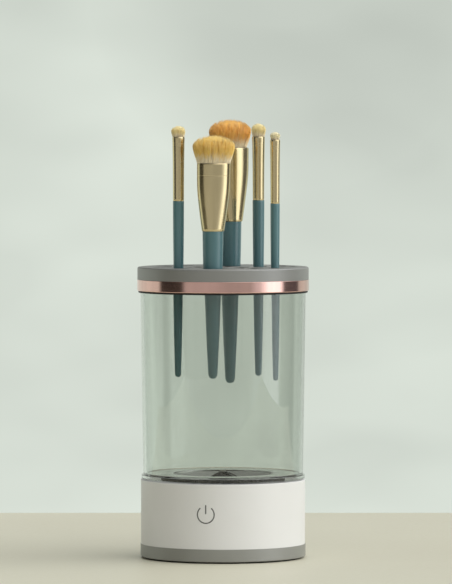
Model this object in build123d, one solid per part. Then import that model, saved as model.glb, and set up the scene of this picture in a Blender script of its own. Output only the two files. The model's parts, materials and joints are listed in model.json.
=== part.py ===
from build123d import *
import math
import os

# Makeup brush cleaner: a round battery base with a motor, a clear cup that lifts off it, an
# impeller in the cup's well, and a lid whose silicone puck holds brushes by their handles.
# Millimetres. Origin: centre of the foot ring's underside. +Z up, -Y is the front (power mark).

# ---------------------------------------------------------------- driving dimensions
LID_R = 55.0
BASE_R = 52.6
BASE_WALL = 2.4
COVER_R = 52.85
CUP_TOP_R = 53.0
CUP_BOTTOM_R = 51.2
CUP_WALL = 2.0

FOOT_PROUD = 1.0
FOOT_OUTER_R = 50.6
FOOT_INNER_R = 46.6
FOOT_TOP = 1.8
COVER_TOP = 9.05
BASE_TOP = 50.2
CUP_FOOT_BOTTOM = 51.0
CUP_FLOOR = 54.0
CUP_RIM = 175.6
RING_BOTTOM = 171.0
RING_TOP = 178.1
LID_TOP = 186.2

WELL_R = 31.8
WELL_FLOOR = 48.4
WELL_THICK = 2.2
FLOOR_THICK = 1.0

RUN_GAP = 0.03
REST_GAP = 0.02
SLIP_GAP = 0.2

# Heights of the drive, from the motor's face up to the impeller.
MOTOR_BOTTOM = 8.6
MOTOR_FACE = 32.6
BRACKET_THICK = 2.2
DRIVER_BOTTOM = 35.6
DRIVER_TOP = 38.4
TOOTH_HEIGHT = 2.0
DRIVEN_BOTTOM = 40.6
DRIVEN_TOP = 43.0
IMPELLER_BOTTOM = 49.9
IMPELLER_TOP = 53.9

MOTOR_R = 12.0
MOTOR_SHAFT_R = 1.15
IMPELLER_SHAFT_R = 2.0
COUPLING_R = 5.6

GASKET_R = 39.6
GASKET_INNER_R = 36.2
POCKET_R = 34.6
DECK_LIP_R = 35.8
DECK_LIP_TOP = 52.9
GASKET_FLUTES = 90
DECK_POCKET_TOP = 45.8
DECK_POCKET_BOTTOM = 43.6
DECK_TOP = 49.8
POST_RING_R = 42.0
POST_ANGLES = (20, 160, 200, 340)
POST_SEAT = 5.4
BRACKET_POST_R = 20.0
BRACKET_POST_ANGLES = (90, 210, 330)
MOTOR_SCREW_X = 8.0

BATTERY_R = 9.2
BATTERY_LENGTH = 65.0
BATTERY_Y = -26.0
BATTERY_Z = 13.4

BOARD_BOTTOM = 13.0
BOARD_TOP = 14.6
BOARD_SCREWS = ((-18, 20), (18, 20), (-14, 40), (14, 40))
# Two-way sockets on the board, for the battery, the motor and the touch pad.
BATTERY_SOCKET = (-17.5, 28)
MOTOR_SOCKET = (9, 20)
TOUCH_SOCKET = (-5, 20)
SOCKET_HEIGHT = 4.5
PORT_HEIGHT = 1.6
LEAD_R = 0.55

ICON_Z = 31.1
ICON_R = 5.8
ICON_STROKE = 0.8
ICON_DEPTH = 0.3

# The puck's holes: a ring of eleven, a ring of five and one in the centre.
MEMBRANE_TOP = 183.8
MEMBRANE_BOTTOM = 182.4
OUTER_RING_R = 40.0
INNER_RING_R = 22.0
OUTER_START = -88
OUTER_COUNT = 11
INNER_COUNT = 5
OUTER_HOLE_R = (8.2, 6.5, 6.0, 7.5, 7.0, 7.0, 7.0, 7.0, 7.5, 6.0, 6.5)
INNER_HOLE_R = (8.5, 7.0, 7.5, 7.5, 6.5)
CENTRE_HOLE_R = 7.5
PETAL_SLIT = 0.5
HANDLE_GAP = 0.3
FREE_OPENING_R = {6.0: 3.2, 6.5: 3.2, 7.0: 3.6, 7.5: 4.0}

# Each brush stands in one hole of the puck: hole is its place in holes(), at its axis, and turn the
# way its wide face looks, in degrees from -Y towards +X. handle is (height, radius) from the tip up,
# ferrule and hair are (height, half width, half depth).
BRUSHES = [
    {
        "name": "face_brush_front",
        "hole": 1,
        "at": (2.0, -40.0),
        "turn": 12,
        "handle": ((116.5, 2.75), (140, 3.95), (168, 5.1), (186, 6.15), (197, 6.45), (209.9, 6.65)),
        "ferrule": ((209.9, 6.95, 6.95), (222, 8.9, 7.2), (236, 10.7, 7.5), (252.8, 11.0, 7.3)),
        "hair": ((252.8, 10.7, 7.0), (258.5, 12.6, 8.2), (263.8, 13.7, 8.9),
                 (268.4, 12.4, 7.9), (271.3, 7.2, 4.6)),
    },
    {
        "name": "face_brush_rear",
        "hole": 12,
        "at": (0.0, 22.0),
        "turn": 40,
        "handle": ((110.5, 3.1), (140, 4.5), (168, 5.6), (186, 6.6), (200, 7.1), (214.8, 7.3)),
        "ferrule": ((214.8, 7.6, 7.6), (228, 10.0, 7.8), (243, 12.2, 8.1), (262.1, 12.6, 8.0)),
        "hair": ((262.1, 12.2, 7.7), (267.5, 14.1, 8.9), (273.4, 15.0, 9.4),
                 (278.2, 13.0, 8.2), (281.2, 7.4, 4.7)),
    },
    {
        "name": "eye_brush_left",
        "hole": 11,
        "at": (-21.5, -34.7),
        "turn": 12,
        "handle": ((117.1, 1.85), (140, 2.5), (170, 3.0), (190, 3.2), (210, 3.45), (228.8, 3.55)),
        "ferrule": ((228.8, 3.4, 3.4), (250, 3.55, 3.55), (262, 3.8, 3.8), (269.4, 3.95, 3.6)),
        "hair": ((269.4, 3.6, 3.2), (271.8, 4.4, 3.5), (274.0, 4.6, 3.4),
                 (275.8, 3.7, 2.7), (276.8, 1.9, 1.5)),
    },
    {
        "name": "eye_brush_right",
        "hole": 16,
        "at": (21.7, 7.1),
        "turn": 12,
        "handle": ((116.2, 1.95), (140, 2.6), (170, 3.1), (190, 3.45), (210, 3.7), (228.8, 3.8)),
        "ferrule": ((228.8, 3.6, 3.6), (250, 3.8, 3.8), (262, 4.0, 4.0), (269.4, 4.1, 3.8)),
        "hair": ((269.4, 3.8, 3.5), (272.4, 4.5, 3.6), (275.2, 4.6, 3.5),
                 (277.2, 3.7, 2.8), (278.4, 1.9, 1.5)),
    },
    {
        "name": "liner_brush",
        "hole": 3,
        "at": (37.2, -15.9),
        "turn": 12,
        "handle": ((114.5, 1.75), (140, 2.3), (170, 2.65), (190, 2.85), (210, 2.95), (227.1, 3.0)),
        "ferrule": ((227.1, 2.8, 2.8), (248, 2.95, 2.95), (260, 3.15, 3.15), (267.6, 3.25, 3.0)),
        "hair": ((267.6, 3.0, 2.7), (269.4, 3.2, 2.7), (270.9, 3.1, 2.5),
                 (272.1, 2.4, 1.8), (272.9, 1.3, 1.1)),
    },
]
TENON_DEPTH = 12.0
TENON_SHARE = 0.72
ROOT_DEPTH = 3.0
FERRULE_WALL = 0.6

os.makedirs("parts", exist_ok=True)


def save(name, shape):
    """Writes one node as a STEP file, naming it after the node."""
    shape.label = name
    export_step(shape, f"parts/{name}.step")


# ---------------------------------------------------------------- shared shapes
def polar(radius, angle):
    return radius * math.cos(math.radians(angle)), radius * math.sin(math.radians(angle))


def disc(radius, low, high, x=0.0, y=0.0):
    return Pos(x, y, (low + high) / 2) * Cylinder(radius, high - low)


def ring(outer, inner, low, high):
    return disc(outer, low, high) - disc(inner, low - 1, high + 1)


def block(x0, x1, y0, y1, z0, z1):
    middle = Pos((x0 + x1) / 2, (y0 + y1) / 2, (z0 + z1) / 2)
    return middle * Box(x1 - x0, y1 - y0, z1 - z0)


def sector(radius, low, high, angle):
    """A pie slice of a disc, from +X round towards +Y."""
    align = (Align.NONE, Align.NONE, Align.CENTER)
    return Pos(0, 0, (low + high) / 2) * Cylinder(radius, high - low, arc_size=angle, align=align)


def turned(points):
    """A closed solid of revolution about Z from (radius, height) points."""
    outline = Polyline([(r, 0, z) for r, z in points], close=True)
    return revolve(make_face(outline), Axis.Z)


def rims(shape, z, radius):
    """The shape's circular edges of one radius at one height."""
    circles = shape.edges().filter_by(GeomType.CIRCLE)
    return [e for e in circles if abs(e.arc_center.Z - z) < 0.01 and abs(e.radius - radius) < 0.01]


def screw(head_r, head_height, shank_r, length, x, y, head_z, up):
    """A pan-head screw with a cross recess. head_z is the head's seat, and up is +1 or -1."""
    head = disc(head_r, 0, head_height)
    head = fillet(head.edges().group_by(Axis.Z)[-1], min(head_height, head_r) * 0.45)
    slot = 0.5
    head -= Pos(0, 0, head_height) * Box(head_r * 1.2, slot, head_height * 0.9)
    head -= Pos(0, 0, head_height) * Box(slot, head_r * 1.2, head_height * 0.9)
    body = head + disc(shank_r, -length, 0)
    if up > 0:
        body = Rot(180, 0, 0) * body
    return Pos(x, y, head_z) * body


# ---------------------------------------------------------------- base, outside
def power_mark():
    """The power symbol's outline on the front face: a broken ring and a bar, as a long prism."""
    gap = 40
    stroke = ICON_STROKE / 2
    mid = ICON_R - stroke
    arc = CenterArc((0, 0), mid, 90 + gap, 360 - 2 * gap)
    mark = trace(arc, ICON_STROKE)
    bar_length = ICON_R
    bar = Pos(0, ICON_R - bar_length / 2 + stroke) * SlotOverall(bar_length, ICON_STROKE, rotation=90)
    front = Plane.XZ.offset(BASE_R - 5)
    return [extrude(front * Pos(0, ICON_Z) * shape, 10) for shape in (mark, bar)]


def usb_slot(width, height, depth, outer):
    """A rounded slot through the rear wall, outer being its far Y."""
    face = Plane.XZ * Pos(0, BOARD_TOP + PORT_HEIGHT) * SlotOverall(width, height)
    return Pos(0, outer, 0) * extrude(face, depth)


def base_shell():
    inner = BASE_R - BASE_WALL
    shell = ring(BASE_R, inner, COVER_TOP, BASE_TOP)
    shell = fillet(rims(shell, BASE_TOP, BASE_R), 0.5)
    # The ledge that the deck sits on, with a sloping underside.
    lip = 2.0
    shell += turned([
        (inner + 0.5, DECK_TOP - 2),
        (inner - lip, DECK_TOP - 2),
        (inner - lip, DECK_TOP - 3.2),
        (inner + 0.5, DECK_TOP - 6),
    ])
    for side in (-1, 1):
        rib_in = 7.7
        rib_out = rib_in + 1.8
        low, high = sorted((side * rib_in, side * rib_out))
        shell += block(low, high, -50.6, -46.4, ICON_Z - 10, ICON_Z + 10)
    groove = ring(BASE_R + 1, BASE_R - ICON_DEPTH, ICON_Z - 8, ICON_Z + 8)
    for stroke in power_mark():
        shell -= stroke & groove
    shell -= usb_slot(9.4, 3.8, 8, BASE_R + 1)
    shell -= usb_slot(12.6, 7.0, 2.4, BASE_R + 1)
    return shell


def power_icon():
    skin = ring(BASE_R, BASE_R - ICON_DEPTH, ICON_Z - 8, ICON_Z + 8)
    return Compound([solid for stroke in power_mark() for solid in (stroke & skin).solids()])


def bottom_cover():
    floor_top = 3.2
    spigot_top = 11.0
    spigot_r = BASE_R - BASE_WALL - 0.3
    cover = disc(COVER_R, FOOT_PROUD, COVER_TOP)
    cover = chamfer(cover.edges().group_by(Axis.Z)[0], 0.5)
    cover += disc(spigot_r, COVER_TOP, spigot_top)
    cover -= disc(spigot_r - 1.7, floor_top, spigot_top + 1)
    cover -= ring(FOOT_OUTER_R + 0.05, FOOT_INNER_R - 0.05, 0, FOOT_TOP)
    for angle in POST_ANGLES:
        x, y = polar(POST_RING_R, angle)
        cover += disc(4.8, floor_top - 0.5, POST_SEAT, x, y)
        cover -= disc(3.1, 0, 3.4, x, y)
        cover -= disc(1.5, 3, POST_SEAT + 1, x, y)
    for x, y in BOARD_SCREWS:
        cover += disc(2.6, floor_top - 0.5, BOARD_BOTTOM, x, y)
        cover -= disc(0.95, 6, BOARD_BOTTOM + 1, x, y)
    return cover


def foot_ring():
    foot = ring(FOOT_OUTER_R, FOOT_INNER_R, 0, FOOT_TOP)
    return fillet(foot.edges().group_by(Axis.Z)[0], 0.3)


def deck_plate():
    """The base's inner top: a flat annulus, a pocket for the cup's well, and the screw posts.

    A lip round the pocket keeps the gasket in place."""
    edge = BASE_R - BASE_WALL - SLIP_GAP
    deck = ring(edge, POCKET_R, DECK_TOP - 2, DECK_TOP)
    deck += ring(DECK_LIP_R, POCKET_R, DECK_POCKET_BOTTOM, DECK_LIP_TOP)
    deck += ring(POCKET_R + 1, 8.0, DECK_POCKET_BOTTOM, DECK_POCKET_TOP)
    for angle in POST_ANGLES:
        x, y = polar(POST_RING_R, angle)
        deck += disc(3.4, POST_SEAT, DECK_TOP - 1, x, y)
        deck -= disc(1.3, POST_SEAT - 1, POST_SEAT + 12, x, y)
    for angle in BRACKET_POST_ANGLES:
        x, y = polar(BRACKET_POST_R, angle)
        deck += disc(3.0, MOTOR_FACE + BRACKET_THICK, DECK_POCKET_BOTTOM + 1, x, y)
        deck -= disc(1.0, MOTOR_FACE, MOTOR_FACE + BRACKET_THICK + 7, x, y)
    return deck


def cup_gasket():
    """The dark ring that the cup stands on, with upright flutes round its outside."""
    gasket = ring(GASKET_R, GASKET_INNER_R, DECK_TOP, CUP_FLOOR - FLOOR_THICK - REST_GAP)
    for k in range(GASKET_FLUTES):
        x, y = polar(GASKET_R + 0.35, 360 / GASKET_FLUTES * k)
        gasket -= disc(0.75, DECK_TOP - 1, CUP_FLOOR, x, y)
    return gasket


def cover_screws():
    made = []
    for angle in POST_ANGLES:
        x, y = polar(POST_RING_R, angle)
        made.append(screw(2.6, 1.6, 1.25, 10.5, x, y, 3.4, 1))
    return Compound(made)


# ---------------------------------------------------------------- base, inside
def touch_board():
    return block(-7.5, 7.5, -48.2, -47.0, ICON_Z - 9, ICON_Z + 9)


def touch_electrode():
    pad = extrude(Plane.XZ.offset(48.2) * Pos(0, ICON_Z) * Circle(6.0), 1.2)
    return fillet(pad.edges().group_by(Axis.Y)[0], 0.3)


def motor_can():
    wall = 0.8
    can = disc(MOTOR_R, MOTOR_BOTTOM, MOTOR_FACE)
    can = fillet(can.edges().group_by(Axis.Z)[-1], 0.8)
    can -= disc(MOTOR_R - wall, MOTOR_BOTTOM - 1, MOTOR_FACE - 1.2)
    can += disc(3.1, MOTOR_FACE - 1, MOTOR_FACE + 1.6)
    can -= disc(MOTOR_SHAFT_R + RUN_GAP, MOTOR_BOTTOM, MOTOR_FACE + 3)
    for side in (-1, 1):
        can -= disc(1.0, MOTOR_FACE - 2, MOTOR_FACE + 1, side * MOTOR_SCREW_X)
    return can


def motor_magnets():
    body = ring(MOTOR_R - 0.8, MOTOR_R - 2.8, MOTOR_BOTTOM + 4, MOTOR_FACE - 4)
    gap = block(-MOTOR_R, MOTOR_R, -3, 3, MOTOR_BOTTOM, MOTOR_FACE)
    return Compound((body - gap).solids())


def motor_end_cap():
    cap = disc(MOTOR_R - 0.85, MOTOR_BOTTOM - 1.4, MOTOR_BOTTOM + 1.6)
    cap += disc(3.4, MOTOR_BOTTOM - 2.6, MOTOR_BOTTOM)
    for side in (-1, 1):
        cap += block(side * 7 - 1.2, side * 7 + 1.2, -0.3, 0.3, MOTOR_BOTTOM - 4, MOTOR_BOTTOM)
    cap -= disc(MOTOR_SHAFT_R + RUN_GAP, MOTOR_BOTTOM - 1.8, MOTOR_BOTTOM + 2)
    return cap


def motor_shaft():
    shaft = disc(MOTOR_SHAFT_R, MOTOR_BOTTOM - 1.7, DRIVER_TOP - 0.2)
    return chamfer(shaft.edges().group_by(Axis.Z)[-1], 0.25)


def motor_armature():
    """Three wound poles on the shaft, with the commutator below them."""
    low, high = MOTOR_BOTTOM + 5.5, MOTOR_FACE - 5
    core = disc(3.4, low, high)
    for k in range(3):
        angle = 120 * k
        core += Rot(0, 0, angle) * block(2.5, 7.6, -1.5, 1.5, low, high)
        shoe = ring(8.6, 7.2, low, high) & block(0, 10, -5.6, 5.6, low - 1, high + 1)
        core += Rot(0, 0, angle) * shoe
    core += disc(2.4, MOTOR_BOTTOM + 2.2, low)
    return core - disc(MOTOR_SHAFT_R, 0, MOTOR_FACE)


def coupling_teeth(low, high, first):
    """Three dog teeth, 52 degrees wide, standing between a slightly larger bore and the rim."""
    teeth = ring(COUPLING_R, 2.3, low, high)
    keep = None
    for k in range(3):
        wedge = Rot(0, 0, first + 120 * k - 26) * sector(COUPLING_R + 1, low, high, 52)
        keep = wedge if keep is None else keep + wedge
    return teeth & keep


def driver_coupling():
    hub = disc(COUPLING_R, DRIVER_BOTTOM, DRIVER_TOP)
    hub += coupling_teeth(DRIVER_TOP - 0.5, DRIVER_TOP + TOOTH_HEIGHT, 0)
    return hub - disc(MOTOR_SHAFT_R, DRIVER_BOTTOM - 1, DRIVER_TOP - 0.2)


def motor_bracket():
    low, high = MOTOR_FACE, MOTOR_FACE + BRACKET_THICK
    plate = disc(13.5, low, high)
    for angle in BRACKET_POST_ANGLES:
        x, y = polar(BRACKET_POST_R, angle)
        arm = Rot(0, 0, angle) * block(0, BRACKET_POST_R, -4, 4, low, high)
        plate += arm + disc(4, low, high, x, y)
    for angle in BRACKET_POST_ANGLES:
        x, y = polar(BRACKET_POST_R, angle)
        plate -= disc(1.2, low - 1, high + 1, x, y)
    for side in (-1, 1):
        plate -= disc(1.25, low - 1, high + 1, side * MOTOR_SCREW_X)
    return plate - disc(3.2, low - 1, high + 1)


def bracket_screws():
    made = []
    for angle in BRACKET_POST_ANGLES:
        x, y = polar(BRACKET_POST_R, angle)
        made.append(screw(2.2, 1.4, 0.95, 8.5, x, y, MOTOR_FACE, 1))
    return Compound(made)


def motor_screws():
    seat = MOTOR_FACE + BRACKET_THICK
    made = [screw(1.9, 1.2, 0.95, 3.2, side * MOTOR_SCREW_X, 0, seat, -1) for side in (-1, 1)]
    return Compound(made)


def battery_cell():
    cell = Cylinder(BATTERY_R, BATTERY_LENGTH - 0.6)
    cell = fillet(cell.edges(), 0.5)
    cell += Pos(0, 0, BATTERY_LENGTH / 2 - 0.4) * Cylinder(3.0, 1.0)
    return Pos(0, BATTERY_Y, BATTERY_Z) * Rot(0, 90, 0) * cell


def battery_cradle():
    cradle = block(-24, 24, BATTERY_Y - 9.4, BATTERY_Y + 9.4, 3.2, 10.4)
    channel = Rot(0, 90, 0) * Cylinder(BATTERY_R + 0.1, 80)
    cradle -= Pos(0, BATTERY_Y, BATTERY_Z) * channel
    cradle -= block(-12, 12, BATTERY_Y - 20, BATTERY_Y + 20, 5.2, 12)
    return cradle


def main_board():
    board = block(-22, 22, 16, 47, BOARD_BOTTOM, BOARD_TOP) & disc(47.6, 0, 30)
    for x, y in BOARD_SCREWS:
        board -= disc(1.15, 0, 30, x, y)
    return board


def board_screws():
    made = [screw(2.0, 1.2, 0.9, 6.5, x, y, BOARD_TOP, -1) for x, y in BOARD_SCREWS]
    return Compound(made)


def usb_c_socket():
    low = BOARD_TOP
    height = 3.2
    length = 7.3
    front = BASE_R - BASE_WALL - SLIP_GAP
    face = Plane.XZ * Pos(0, low + height / 2) * SlotOverall(9.0, height)
    hollow = Plane.XZ * Pos(0, low + height / 2) * SlotOverall(8.4, height - 0.6)
    tongue = block(-3.2, 3.2, front - 6.5, front - 1.2, low + 1.25, low + 1.95)
    shell = Pos(0, front, 0) * extrude(face, length)
    shell -= Pos(0, front + 1, 0) * extrude(hollow, length)
    return shell + tongue


def board_chips():
    places = ((-9, 29, 3.5, 3.5, 1.2), (2, 24, 2.5, 3.2, 1.2), (4, 34, 2.0, 2.0, 0.9))
    chips = []
    for x, y, half_x, half_y, height in places:
        chip = block(x - half_x, x + half_x, y - half_y, y + half_y, BOARD_TOP, BOARD_TOP + height)
        chips.append(chamfer(chip.edges().group_by(Axis.Z)[-1], 0.2))
    return Compound(chips)


def board_capacitor():
    body = disc(3.2, BOARD_TOP, BOARD_TOP + 8, 12, 29)
    return fillet(body.edges().group_by(Axis.Z)[-1], 0.5)


def board_connectors():
    made = []
    for x, y in (BATTERY_SOCKET, MOTOR_SOCKET, TOUCH_SOCKET):
        body = block(x - 2.6, x + 2.6, y - 2, y + 2, BOARD_TOP, BOARD_TOP + SOCKET_HEIGHT)
        mouth = block(x - 2.0, x + 2.0, y - 1.4, y + 1.4, BOARD_TOP + 3, BOARD_TOP + SOCKET_HEIGHT + 1)
        made.append(body - mouth)
    return Compound(made)


def battery_tabs():
    """Nickel strips welded on the battery's ends."""
    half = BATTERY_LENGTH / 2
    y0, y1 = BATTERY_Y - 3, BATTERY_Y + 3
    minus = block(-half, -half + 0.3, y0, y1, 8, 20)
    plus = block(half + 0.1, half + 0.4, y0, y1, 8, 20)
    return Compound([minus, plus])


def lead(points, radius=3.0):
    """A wire through the points, with every corner rounded."""
    path = FilletPolyline(*points, radius=[radius] * (len(points) - 2))
    return sweep(path.location_at(0) * Circle(LEAD_R), path)


def leads(socket, heights, runs):
    """Two wires that rise out of a socket side by side, then follow their own runs."""
    made = []
    for side, height, run in zip((-1, 1), heights, runs):
        x, y = socket[0] + 0.9 * side, socket[1]
        start = [(x, y, BOARD_TOP + 3), (x, y, height)]
        made.append(lead(start + [(px or x, py, pz) for px, py, pz in run]))
    return Compound(made)


def battery_leads():
    half = BATTERY_LENGTH / 2
    low = 16.5
    minus_x = -half - LEAD_R - 0.02
    plus_x = half + 0.42 + LEAD_R
    y = BATTERY_Y
    minus = [(None, 8, 25), (minus_x, y + 8, 25), (minus_x, y, low + 5), (minus_x, y, low)]
    plus = [(None, y + 9, 25), (plus_x, y + 7, 25), (plus_x, y, low + 5), (plus_x, y, low)]
    return leads(BATTERY_SOCKET, (25, 25), (minus, plus))


def motor_leads():
    low = MOTOR_BOTTOM - 2.7
    right = [(7, 14, 23), (7, 14, low), (7, 0.32, low)]
    left = [(-7, 14, 26), (-7, 14, low), (-7, 0.32, low)]
    return leads(MOTOR_SOCKET, (26, 23), (left, right))


def touch_leads():
    end = -46.98
    outer = [(24, 6, 30.5), (24, -28, 30.5), (4, -40, 28), (4, end, 28)]
    inner = [(22, 4, 28.5), (22, -30, 28.5), (1, -40, 26), (1, end, 26)]
    return leads(TOUCH_SOCKET, (28.5, 30.5), (inner, outer))


# ---------------------------------------------------------------- cup and drive in it
def cup_outer_r(z):
    share = (z - CUP_FLOOR) / (CUP_RIM - CUP_FLOOR)
    return CUP_BOTTOM_R + share * (CUP_TOP_R - CUP_BOTTOM_R)


def cup():
    """The clear cup: a tapered wall, a floor with a well for the impeller, and a standing foot."""
    foot_r = 52.3
    foot_in = 49.0
    boss_r = 6.2
    under = CUP_FLOOR - FLOOR_THICK
    well_under = WELL_FLOOR - WELL_THICK
    bore = 3.5
    outline = [
        (bore, 44.2),
        (boss_r, 44.2),
        (boss_r, well_under),
        (WELL_R + WELL_THICK, well_under),
        (WELL_R + WELL_THICK, under),
        (foot_in, under),
        (foot_in, CUP_FOOT_BOTTOM),
        (foot_r, CUP_FOOT_BOTTOM),
        (foot_r, CUP_FLOOR - 0.6),
        (CUP_BOTTOM_R, CUP_FLOOR + 0.4),
        (CUP_TOP_R, CUP_RIM),
        (CUP_TOP_R - CUP_WALL, CUP_RIM),
        (CUP_BOTTOM_R - CUP_WALL, CUP_FLOOR + 3),
        (CUP_BOTTOM_R - CUP_WALL - 3, CUP_FLOOR),
        (WELL_R, CUP_FLOOR),
        (WELL_R, WELL_FLOOR),
        (boss_r, WELL_FLOOR),
        (boss_r, 49.6),
        (bore, 49.6),
    ]
    body = turned(outline)
    rim = rims(body, CUP_RIM, CUP_TOP_R) + rims(body, CUP_RIM, CUP_TOP_R - CUP_WALL)
    body = fillet(rim, 0.6)
    body = fillet(rims(body, CUP_FLOOR, WELL_R), 0.9)
    return fillet(rims(body, CUP_FOOT_BOTTOM, foot_r), 0.3)


def shaft_bush():
    bush = disc(3.5, 43.6, 48.6) + disc(4.8, 43.4, 44.2)
    return bush - disc(IMPELLER_SHAFT_R + RUN_GAP, 40, 50)


def shaft_seal():
    seal = ring(3.5, IMPELLER_SHAFT_R + RUN_GAP, 48.6, 49.6)
    return seal - ring(3.0, 2.5, 49.2, 50)


def impeller_shaft():
    shaft = disc(IMPELLER_SHAFT_R, DRIVER_TOP + 0.9, IMPELLER_TOP + 0.4)
    return chamfer(shaft.edges().group_by(Axis.Z)[0], 0.3)


def thrust_washer():
    return ring(4.6, IMPELLER_SHAFT_R + 0.02, 49.62, IMPELLER_BOTTOM)


def impeller():
    """A low cone with four swept blades whose tops slope down to the rim."""
    hub = turned([
        (IMPELLER_SHAFT_R, IMPELLER_BOTTOM),
        (9.4, IMPELLER_BOTTOM),
        (9.4, IMPELLER_BOTTOM + 0.8),
        (8.0, 51.9),
        (3.4, IMPELLER_TOP),
        (IMPELLER_SHAFT_R, IMPELLER_TOP),
    ])
    envelope = turned([
        (2.9, IMPELLER_BOTTOM),
        (10.8, IMPELLER_BOTTOM),
        (10.8, 51.5),
        (8.6, 52.8),
        (4.6, IMPELLER_TOP + 0.4),
        (2.9, IMPELLER_TOP + 0.4),
    ])
    blade = Pos(11.6, 0, 52) * (Cylinder(9.6, 8) - Cylinder(8.4, 9))
    blades = None
    for k in range(4):
        one = Rot(0, 0, 90 * k) * (blade & block(2.4, 11, 0, 9, 49, 56))
        blades = one if blades is None else blades + one
    return hub + (blades & envelope)


def impeller_nut():
    nut = extrude(Plane.XY.offset(IMPELLER_TOP) * RegularPolygon(2.8, 6), 1.3)
    nut = chamfer(nut.edges().group_by(Axis.Z)[-1], 0.35)
    return nut - disc(IMPELLER_SHAFT_R, IMPELLER_TOP - 1, IMPELLER_TOP + 0.4)


def driven_coupling():
    hub = disc(COUPLING_R, DRIVEN_BOTTOM, DRIVEN_TOP)
    hub += coupling_teeth(DRIVEN_BOTTOM - TOOTH_HEIGHT, DRIVEN_BOTTOM + 0.5, 60)
    return hub - disc(IMPELLER_SHAFT_R, DRIVEN_BOTTOM - 3, DRIVEN_TOP + 1)


# ---------------------------------------------------------------- lid
def holes():
    """Every hole of the puck as (x, y, radius)."""
    made = [(0.0, 0.0, CENTRE_HOLE_R)]
    for k, radius in enumerate(OUTER_HOLE_R):
        made.append((*polar(OUTER_RING_R, OUTER_START + 360 / OUTER_COUNT * k), radius))
    for k, radius in enumerate(INNER_HOLE_R):
        made.append((*polar(INNER_RING_R, 90 + 360 / INNER_COUNT * k), radius))
    return made


def lid_ring():
    band = ring(LID_R, 53.8, RING_BOTTOM, RING_TOP)
    return chamfer(rims(band, RING_BOTTOM, LID_R), 0.35)


def lid_frame():
    plate_bottom = CUP_RIM + REST_GAP
    plate = ring(53.7, 49.6, plate_bottom, RING_TOP)
    skirt = ring(50.6, 49.2, RING_BOTTOM + 0.2, plate_bottom + 0.1)
    return plate + (skirt - disc(49.6, plate_bottom, RING_TOP))


def lid_seal():
    lip = ring(54.2, 53.3, RING_BOTTOM - 1.2, RING_BOTTOM)
    lip = fillet(lip.edges().group_by(Axis.Z)[0], 0.3)
    return lip + ring(53.7, 53.3, RING_BOTTOM - 0.1, RING_BOTTOM + 2.5)


def petal_cut(x, y, hole_r, open_x, open_y, open_r, slits):
    """What is cut from a hole's membrane: the opening and the radial slits between petals."""
    cut = disc(open_r, MEMBRANE_BOTTOM - 1, MEMBRANE_TOP + 1, open_x, open_y)
    for k in range(slits):
        half = PETAL_SLIT / 2
        slit = block(0, hole_r - 0.9, -half, half, MEMBRANE_BOTTOM - 1, MEMBRANE_TOP + 1)
        cut += Pos(x, y, 0) * Rot(0, 0, 360 / slits * (k + 0.5)) * slit
    return cut


def brush_holder():
    """The silicone puck: a thick disc whose holes each hold a slit membrane."""
    puck = disc(LID_R - 0.2, RING_TOP, LID_TOP)
    puck = fillet(puck.edges().group_by(Axis.Z)[-1], 1.1)
    puck += disc(49.3, RING_TOP - 2.4, RING_TOP + 1)
    loaded = {brush["hole"]: brush for brush in BRUSHES}
    for number, (x, y, radius) in enumerate(holes()):
        puck -= disc(radius, MEMBRANE_TOP, LID_TOP + 1, x, y)
        puck -= disc(radius, RING_TOP - 4, MEMBRANE_BOTTOM, x, y)
        brush = loaded.get(number)
        if brush:
            open_x, open_y = brush["at"]
            open_r = handle_radius(brush, MEMBRANE_TOP) + HANDLE_GAP
        else:
            open_x, open_y, open_r = x, y, FREE_OPENING_R[radius]
        puck -= petal_cut(x, y, radius, open_x, open_y, open_r, 8 if radius > 7 else 6)
    lips = [lip for radius in set(hole[2] for hole in holes()) for lip in rims(puck, LID_TOP, radius)]
    return chamfer(lips, 0.4)


# ---------------------------------------------------------------- brushes
def handle_radius(brush, z):
    """The handle's radius at a height, straight between its given points."""
    points = brush["handle"]
    for (z0, r0), (z1, r1) in zip(points, points[1:]):
        if z0 <= z <= z1:
            return r0 + (r1 - r0) * (z - z0) / (z1 - z0)
    raise ValueError(f"no handle at {z}")


def brush_handle(brush):
    tip_z, tip_r = brush["handle"][0]
    top_z, top_r = brush["handle"][-1]
    tenon_r = top_r * TENON_SHARE
    side = [(r, z) for z, r in brush["handle"][1:]]
    first = (tip_r, tip_z + tip_r * 0.9)
    outline = [(0, tip_z), (tip_r * 0.45, tip_z + tip_r * 0.1), (tip_r * 0.85, tip_z + tip_r * 0.42), first]
    outline += side + [(tenon_r, top_z), (tenon_r, top_z + TENON_DEPTH), (0, top_z + TENON_DEPTH)]
    return turned(outline)


def oval_stack(sections):
    """A smooth solid through ovals of (height, half width, half depth)."""
    faces = []
    for z, half_width, half_depth in sections:
        if abs(half_width - half_depth) < 1e-6:
            faces.append(Plane.XY.offset(z) * Circle(half_width))
        else:
            faces.append(Plane.XY.offset(z) * Ellipse(half_width, half_depth))
    return loft(faces)


def brush_ferrule(brush):
    """A metal sleeve, bored for the handle's tenon and the hair's root."""
    body = oval_stack(brush["ferrule"])
    low = brush["ferrule"][0][0]
    top, half_width, half_depth = brush["ferrule"][-1]
    tenon_r = brush["handle"][-1][1] * TENON_SHARE
    body -= disc(tenon_r + 0.05, low - 1, low + TENON_DEPTH + 0.1)
    root = Plane.XY.offset(top - ROOT_DEPTH) * Ellipse(half_width - FERRULE_WALL, half_depth - FERRULE_WALL)
    return body - extrude(root, ROOT_DEPTH + 1)


def brush_hair(brush):
    top, half_width, half_depth = brush["ferrule"][-1]
    inset = FERRULE_WALL + 0.05
    root = Plane.XY.offset(top - ROOT_DEPTH) * Ellipse(half_width - inset, half_depth - inset)
    return oval_stack(brush["hair"]) + extrude(root, ROOT_DEPTH + 0.2)


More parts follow.
